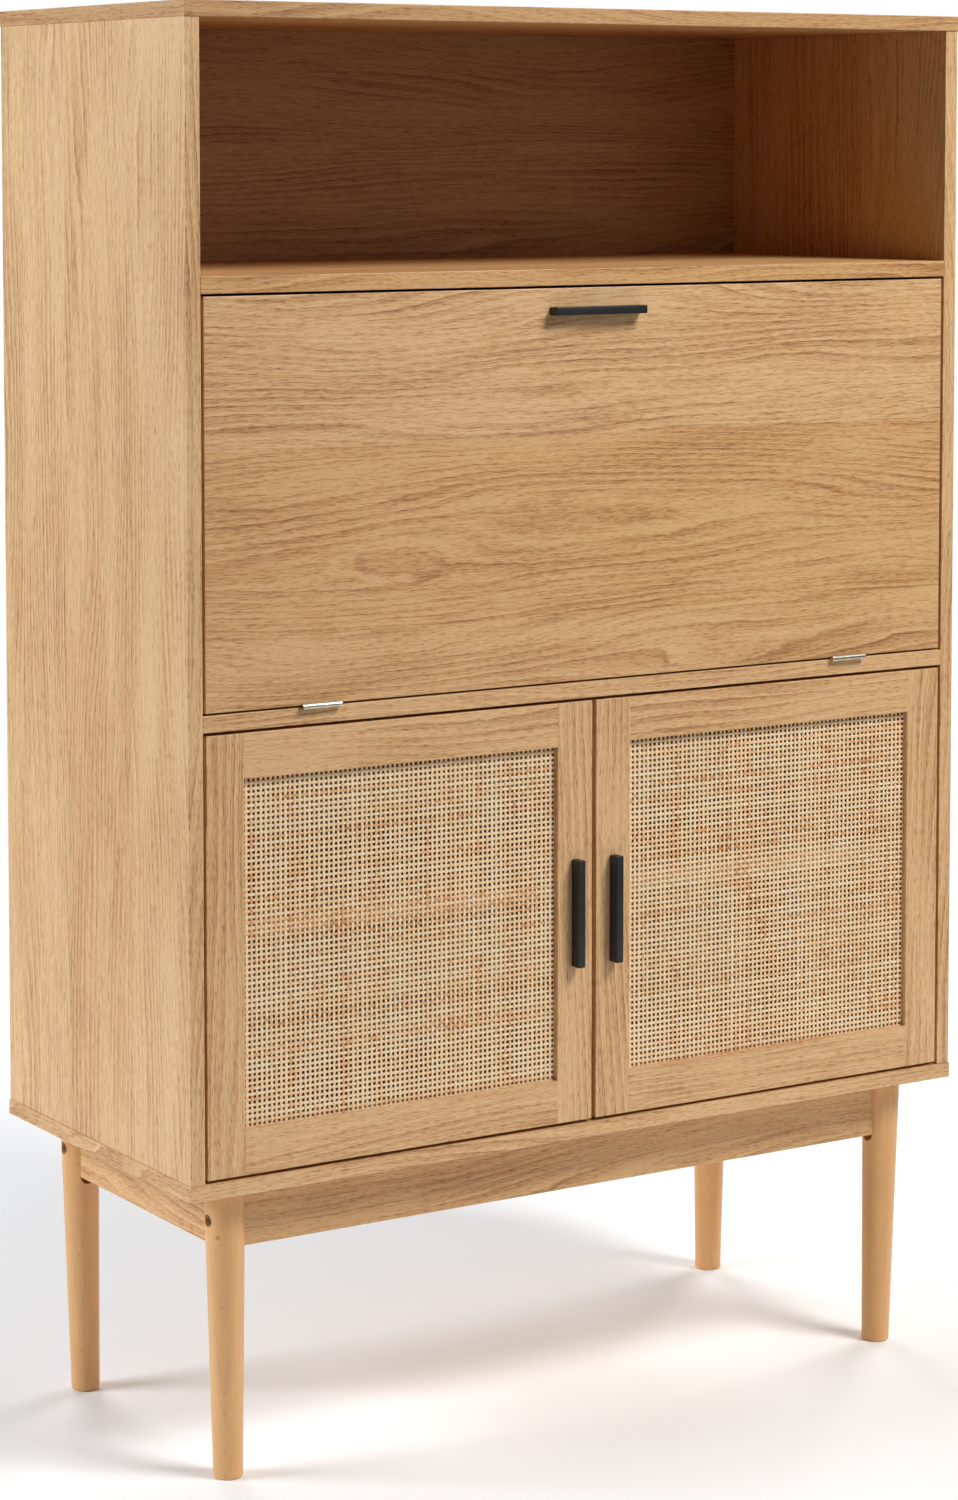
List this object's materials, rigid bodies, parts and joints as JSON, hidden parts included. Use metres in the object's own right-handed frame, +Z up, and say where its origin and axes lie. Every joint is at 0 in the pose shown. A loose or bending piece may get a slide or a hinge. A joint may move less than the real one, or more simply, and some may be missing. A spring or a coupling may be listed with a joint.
{
  "type": "secretary desk",
  "caption": "Freestanding cabinet desk with an open shelf bay above, a fold-down writing flap in the middle and cane-fronted doors below, on round tapered legs.",
  "frame": {"origin": "on the floor, at the middle of the footprint with the handles included", "axes": "+X runs across the width to the right seen from the front, -Y is the front, +Z is up"},
  "size_m": [0.9, 0.4014, 1.39],
  "materials": {
    "oak_board": "oak pattern melamine on particle board, satin, with matching edge band",
    "back_board": "thin fibre board with the same oak pattern",
    "solid_wood": "pale solid wood, clear satin varnish",
    "wood_bead": "plain wood strip",
    "cane": "natural woven cane, open square weave",
    "black_metal": "matt black powder coat",
    "nickel": "bright nickel plate",
    "zinc_steel": "bright zinc plate",
    "plain_steel": "dull zinc plate",
    "black_plastic": "moulded, matt"
  },
  "bodies": {
    "carcass": {"top_panel": "oak_board", "bottom_panel": "oak_board", "side_panel_left": "oak_board", "side_panel_right": "oak_board", "upper_shelf": "oak_board", "middle_shelf": "oak_board", "adjustable_shelf": "oak_board", "shelf_pins": "zinc_steel", "back_panel_upper": "back_board", "back_panel_middle": "back_board", "back_panel_lower": "back_board", "dowels": "solid_wood", "cam_locks": "zinc_steel", "cam_bolts": "zinc_steel", "leg_front_left": "solid_wood", "leg_front_right": "solid_wood", "leg_rear_left": "solid_wood", "leg_rear_right": "solid_wood", "apron_front": "oak_board", "apron_rear": "oak_board", "apron_left": "oak_board", "apron_right": "oak_board", "leg_bolts": "plain_steel", "barrel_nuts": "plain_steel", "base_bolts": "plain_steel", "base_screws": "zinc_steel", "flap_hinge_shelf_leaves": "nickel", "flap_hinge_pins": "nickel", "flap_hinge_shelf_screws": "nickel", "stay_plates": "zinc_steel", "door_hinge_plates": "zinc_steel", "door_hinge_arms": "zinc_steel", "side_panel_screws": "zinc_steel", "magnetic_catch": "black_plastic"},
    "flap": {"flap_panel": "oak_board", "flap_handle": "black_metal", "flap_handle_screws": "zinc_steel", "flap_hinge_leaves": "nickel", "flap_hinge_screws": "nickel", "stay_brackets": "zinc_steel", "flap_inner_screws": "zinc_steel", "strike_plate": "zinc_steel"},
    "stay_rod_left_body": {"stay_rod_left": "nickel"},
    "stay_guide_left_body": {"stay_guide_left": "zinc_steel"},
    "stay_rod_right_body": {"stay_rod_right": "nickel"},
    "stay_guide_right_body": {"stay_guide_right": "zinc_steel"},
    "door_left": {"door_left_stiles": "oak_board", "door_left_rails": "oak_board", "door_left_rattan": "cane", "door_left_beads": "wood_bead", "door_left_handle": "black_metal", "door_left_hinge_cups": "zinc_steel", "door_left_screws": "zinc_steel"},
    "door_right": {"door_right_stiles": "oak_board", "door_right_rails": "oak_board", "door_right_rattan": "cane", "door_right_beads": "wood_bead", "door_right_handle": "black_metal", "door_right_hinge_cups": "zinc_steel", "door_right_screws": "zinc_steel"}
  },
  "joints": [
    {"name": "flap_hinge", "type": "hinge", "parent": "carcass", "child": "flap", "pos_m": [0, -0.19135, 0.736], "axis": [1, 0, 0], "range_deg": [0, 90]},
    {"name": "door_left_hinge", "type": "hinge", "parent": "carcass", "child": "door_left", "pos_m": [-0.414, -0.17925, 0.508], "axis": [0, 0, -1], "range_deg": [0, 95]},
    {"name": "door_right_hinge", "type": "hinge", "parent": "carcass", "child": "door_right", "pos_m": [0.414, -0.17925, 0.508], "axis": [0, 0, 1], "range_deg": [0, 95]},
    {"name": "stay_rod_left_pivot", "type": "hinge", "parent": "flap", "child": "stay_rod_left_body", "pos_m": [-0.423, -0.16175, 0.93709], "axis": [1, 0, 0], "range_deg": [-45, 0]},
    {"name": "stay_rod_right_pivot", "type": "hinge", "parent": "flap", "child": "stay_rod_right_body", "pos_m": [0.423, -0.16175, 0.93709], "axis": [1, 0, 0], "range_deg": [-45, 0]},
    {"name": "stay_guide_left_pivot", "type": "hinge", "parent": "carcass", "child": "stay_guide_left_body", "pos_m": [-0.423, -0.10747, 0.92114], "axis": [1, 0, 0], "range_deg": [0, 45]},
    {"name": "stay_guide_right_pivot", "type": "hinge", "parent": "carcass", "child": "stay_guide_right_body", "pos_m": [0.423, -0.10747, 0.92114], "axis": [1, 0, 0], "range_deg": [0, 45]}
  ],
  "couplings": [
    {"joint": "stay_rod_left_pivot", "follows": "flap_hinge", "ratio": -0.5},
    {"joint": "stay_rod_right_pivot", "follows": "flap_hinge", "ratio": -0.5},
    {"joint": "stay_guide_left_pivot", "follows": "flap_hinge", "ratio": 0.5},
    {"joint": "stay_guide_right_pivot", "follows": "flap_hinge", "ratio": 0.5}
  ]
}
